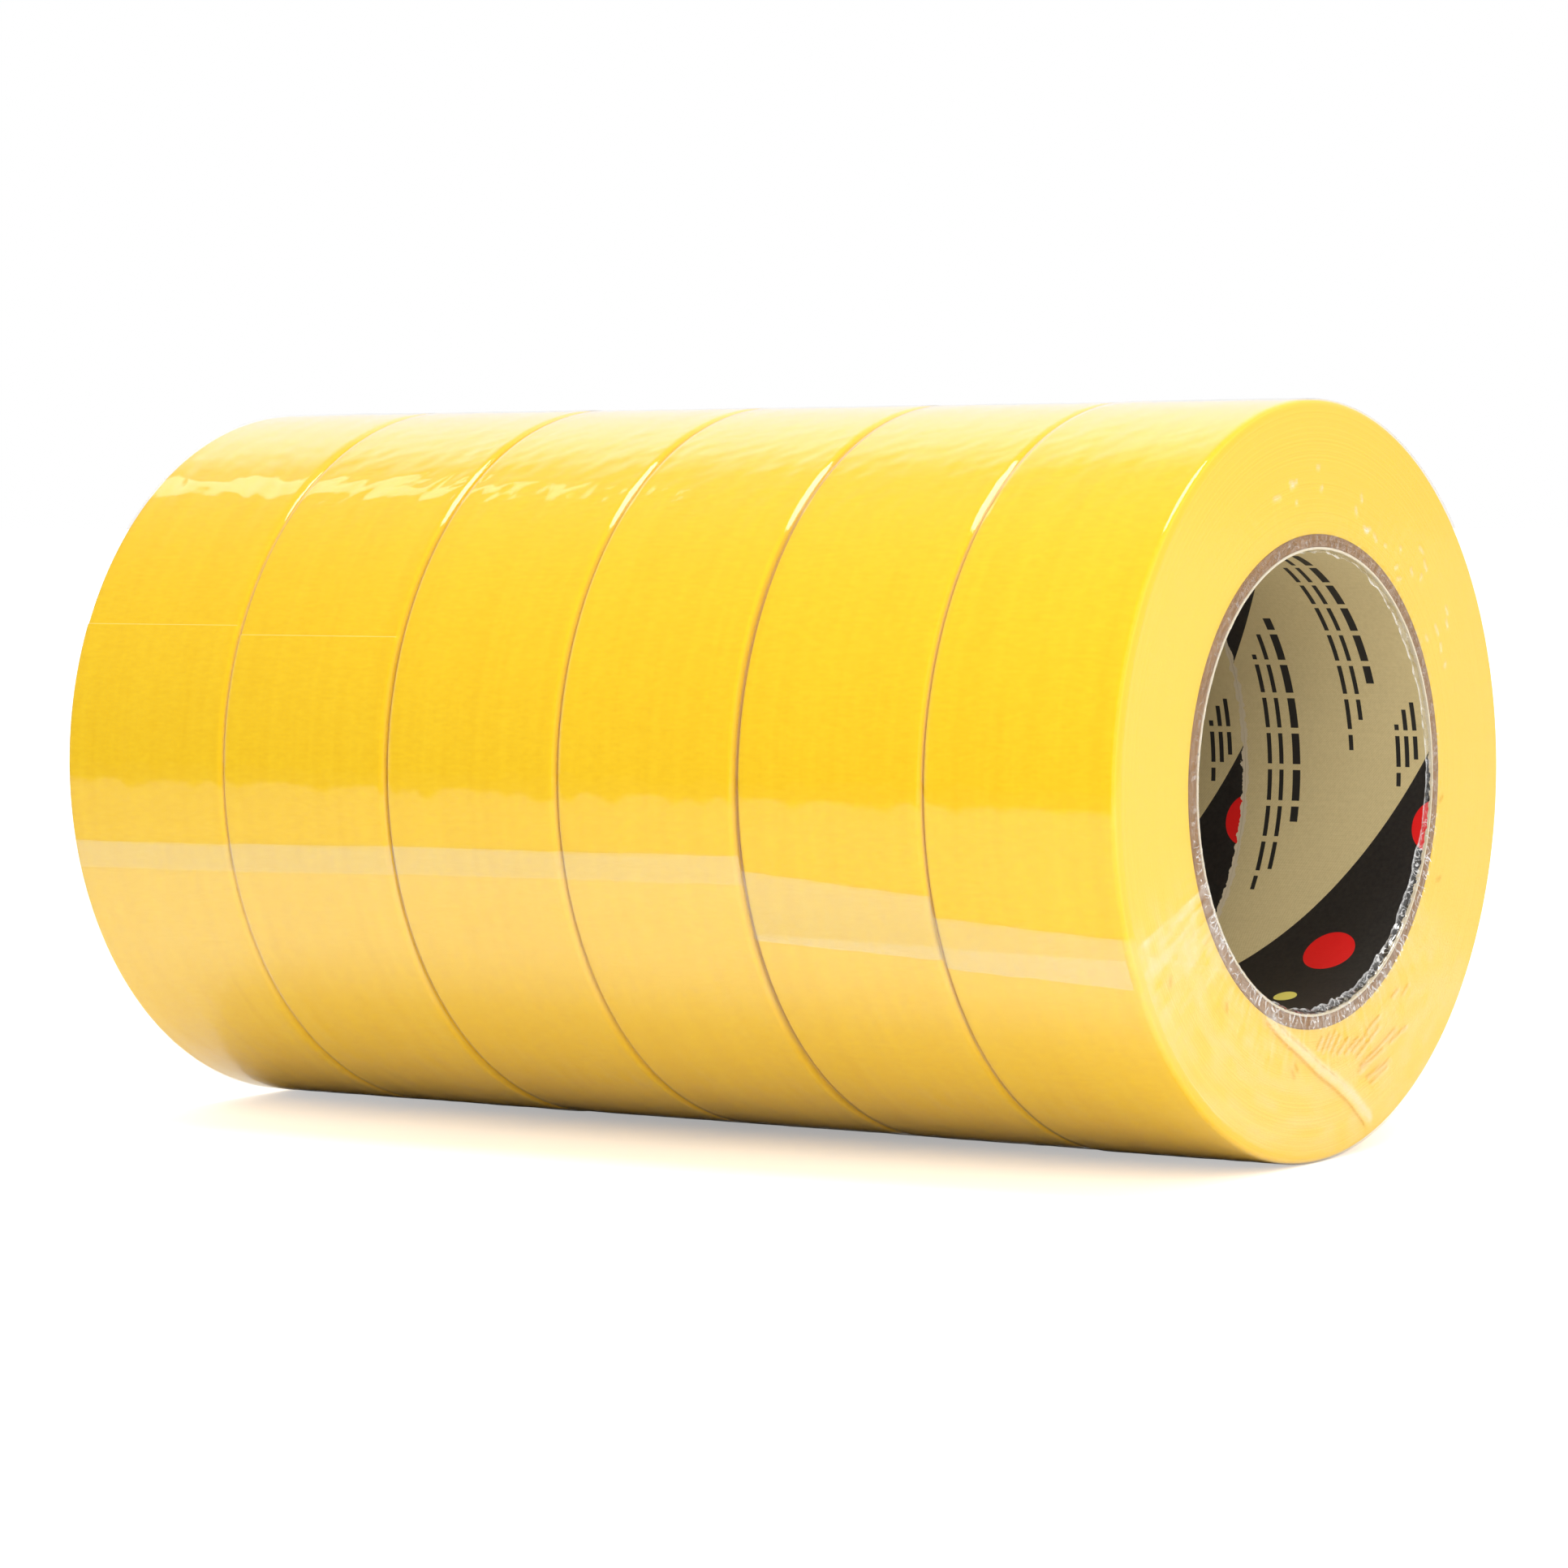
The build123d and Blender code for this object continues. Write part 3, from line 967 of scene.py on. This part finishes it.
def lap_sheet(number, pitch):
    """The strip where the film lies double along one roll. Its edges wander a little."""
    half = pitch / 2 - LAP_PARTING
    reach = half if number < ROLLS else half - FILM_CORNER
    start = -half if number > 1 else -half + FILM_CORNER
    x = np.linspace(start, reach, LAP_COLUMNS)
    share = (x + half) / (2 * half)
    (upper_low, upper_high), (lower_low, lower_high) = LAP_EDGES[number - 1]
    wander = 0.12 * waves(np.array([[0.5]]), share * 0.98, 1, 9)[0]
    upper = upper_low + (upper_high - upper_low) * share + wander
    lower = lower_low + (lower_high - lower_low) * share - wander
    down = np.linspace(0, 1, LAP_ROWS)[:, None]
    degrees = lower + (upper - lower) * down
    radius = film_radius(number) - groove_dip(x, half) + FILM_RIPPLE * 1.6
    centre = middle_of(f"core_{number}")
    angle = np.radians(degrees)
    haze_and_sheen = np.full(degrees.shape, LAP_HAZE)
    if number in STRIPES:
        top_low, top_high = STRIPES[number]
        top = top_low + (top_high - top_low) * share
        haze_and_sheen = haze_and_sheen + STRIPE_HAZE * smooth((degrees - top) / 0.5 + 0.5)
    outer = around(centre + x, radius, angle)
    inner = around(centre + x, radius - FILM_THICKNESS, angle)
    # rows go along the axis, so that the outer face looks outwards
    outer, inner, haze_and_sheen = [np.swapaxes(grid, 0, 1)[:, ::-1] for grid in (outer, inner, haze_and_sheen)]
    return thin_sheet(outer, inner, False), {"haze_and_sheen": haze_and_sheen}


# ---------------------------------------------------------------- build

pitch = middle_of("core_2") - middle_of("core_1")
low_end = middle_of("core_1") - pitch / 2
tape_paper = tape_material()
board = board_material()
printed = liner_material(low_end, pitch)
film = film_material()

for number in range(1, ROLLS + 1):
    roll = f"roll_{number}"
    wrap = f"wrap_{number}"
    add_piece(f"wound_tape_{number}", tape_solid(number), tape_paper, roll, f"tape_{number}")
    add_piece(f"board_core_{number}", board_solid(number), board, roll, f"core_{number}")
    liner = liner_solid(number)
    add_piece(f"printed_liner_{number}", liner, printed, roll, f"core_liner_{number}")
    sheets = {f"film_lap_{number}": lap_sheet(number, pitch)}
    if number in (1, ROLLS):
        sheets[f"film_{number}"] = end_side(number, pitch)
        sheets[f"film_end_{number}"] = end_face(number)
    else:
        sheets[f"film_{number}"] = film_band(number, pitch)
    for name, (solid, values) in sheets.items():
        piece = add_piece(name, solid, film, wrap, f"film_band_{number}", 80)
        set_values(piece, values)


# ---------------------------------------------------------------- studio

def add_floor():
    mesh = bpy.data.meshes.new("floor")
    z = cad_box[0].z
    corners = [(x * FLOOR_SIZE, y * FLOOR_SIZE, z) for x, y in ((-1, -1), (1, -1), (1, 1), (-1, 1))]
    mesh.from_pydata(corners, [], [(0, 1, 2, 3)])
    mesh.materials.append(floor_material())
    floor = bpy.data.objects.new("floor", mesh)
    bpy.context.scene.collection.objects.link(floor)


def add_area_light(name, place, width, height, watts, mirrored):
    """A soft box that faces the pack. The film mirrors it only if mirrored is true."""
    light = bpy.data.lights.new(name, "AREA")
    light.shape = "RECTANGLE"
    light.size = width
    light.size_y = height
    light.energy = watts
    holder = bpy.data.objects.new(name, light)
    holder.location = place
    holder.rotation_euler = (-Vector(place)).to_track_quat("-Z", "Y").to_euler()
    holder.visible_glossy = mirrored
    bpy.context.scene.collection.objects.link(holder)


def add_top_light():
    """A very soft light from straight above, which leaves the underside of the pack dark."""
    light = bpy.data.lights.new("top_light", "SUN")
    light.energy = TOP_LIGHT_STRENGTH
    light.angle = math.radians(TOP_LIGHT_SPREAD)
    holder = bpy.data.objects.new("top_light", light)
    bpy.context.scene.collection.objects.link(holder)


def add_world():
    """A white studio, brightest high up behind and dim in front. The camera itself sees plain white."""
    world = bpy.data.worlds.new("studio")
    world.use_nodes = True
    tree = world.node_tree
    tree.nodes.clear()
    direction = add(tree, "ShaderNodeTexCoord", {}).outputs["Generated"]
    x, y, z = add(tree, "ShaderNodeSeparateXYZ", {"Vector": direction}).outputs
    rays = add(tree, "ShaderNodeLightPath", {}).outputs
    over = maths(tree, "DIVIDE", maths(tree, "ARCTAN2", z, y), math.pi)
    stops = [(place, [value / STUDIO_SCALE] * 3) for place, value in STUDIO]
    level = ramp(tree, maths(tree, "ABSOLUTE", over), stops)
    # The sides the camera sees mirror directions with x near -0.6. Further right or left, what the film
    # mirrors is evenly bright
    rightward = between(tree, x, 0.0, 0.3)
    lengthwise = between(tree, maths(tree, "ABSOLUTE", x), 0.7, 0.9)
    elsewhere = maths(tree, "MAXIMUM", rightward, lengthwise)
    even = (*[1 / STUDIO_SCALE] * 3, 1)
    level = mixed(tree, times(tree, elsewhere, rays["Is Glossy Ray"]), level, even)
    # All of it is a quarter dimmer to the right
    across = between(tree, x, 0.1, -0.35, 0.75, 1.0, interpolation_type="SMOOTHSTEP")
    strength = times(tree, across, STUDIO_SCALE)
    studio = add(tree, "ShaderNodeBackground", {"Color": level, "Strength": strength})
    plain = add(tree, "ShaderNodeBackground", {"Color": WHITE, "Strength": 1.0})
    seen = rays["Is Camera Ray"]
    either = add(tree, "ShaderNodeMixShader", {0: seen, 1: studio.outputs[0], 2: plain.outputs[0]})
    output = tree.nodes.new("ShaderNodeOutputWorld")
    tree.links.new(either.outputs[0], output.inputs["Surface"])
    bpy.context.scene.world = world


def add_camera():
    azimuth, elevation, roll = map(math.radians, (CAMERA_AZIMUTH, CAMERA_ELEVATION, CAMERA_ROLL))
    level = math.cos(elevation)
    back = Vector((math.sin(azimuth) * level, -math.cos(azimuth) * level, math.sin(elevation)))
    level_right = (-back).cross(Vector((0, 0, 1))).normalized()
    level_up = level_right.cross(-back)
    right = level_right * math.cos(roll) + level_up * math.sin(roll)
    up = level_up * math.cos(roll) - level_right * math.sin(roll)
    camera = bpy.data.cameras.new("camera")
    camera.lens = CAMERA_LENS
    camera.sensor_width = 36.0
    camera.clip_end = 50
    holder = bpy.data.objects.new("camera", camera)
    turned = Matrix((right, up, back)).transposed().to_4x4()
    place = right * CAMERA_RIGHT + up * CAMERA_UP + back * CAMERA_DISTANCE
    holder.matrix_world = Matrix.Translation(place) @ turned
    bpy.context.scene.collection.objects.link(holder)
    bpy.context.scene.camera = holder


add_floor()
for light in LIGHTS:
    add_area_light(*light)
add_top_light()
add_world()
add_camera()
bpy.context.scene.view_settings.view_transform = "Standard"
